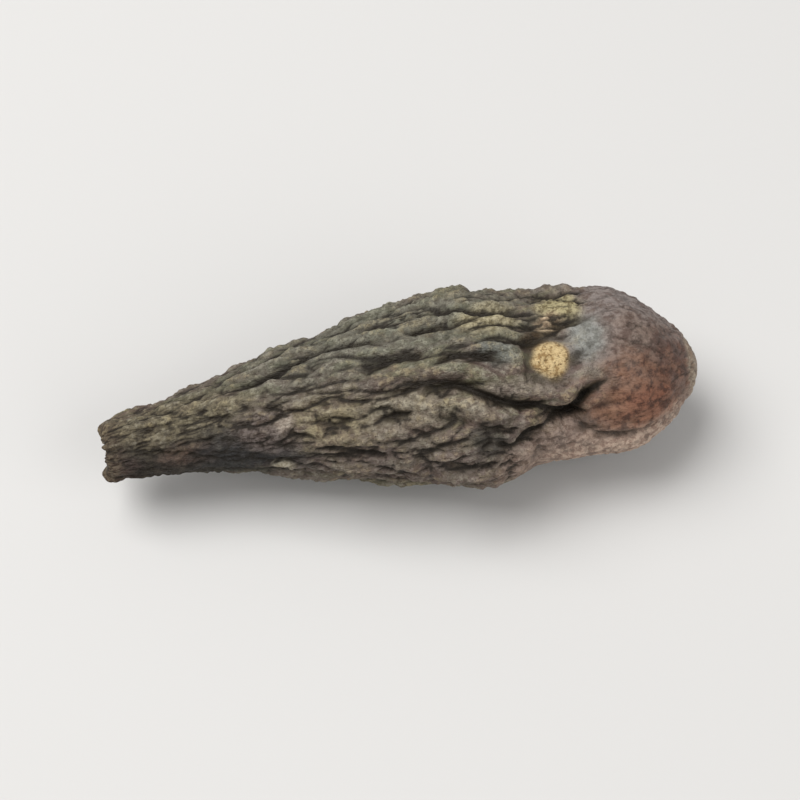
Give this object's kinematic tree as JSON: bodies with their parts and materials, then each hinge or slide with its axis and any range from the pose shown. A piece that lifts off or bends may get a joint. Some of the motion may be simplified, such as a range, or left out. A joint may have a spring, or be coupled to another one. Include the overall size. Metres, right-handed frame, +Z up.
{
  "type": "dried myrobalan fruit",
  "caption": "Small dried myrobalan drupe, club-shaped and wrinkled lengthwise, with a narrow stem neck and a smooth blunt tip, lying on its side.",
  "frame": {"origin": "centre of the bounding box in X and Y, at the level of the flat spot that the fruit lies on", "axes": "+X from the broken stem end to the blunt tip, +Y to the side, +Z up"},
  "size_m": [0.0282, 0.01, 0.0085],
  "materials": {
    "dried_skin": "matt, dusty grey-olive dried skin with dark folds and a smooth mauve and red-brown tip"
  },
  "bodies": {
    "root": {"myrobalan_fruit": "dried_skin"}
  },
  "joints": []
}
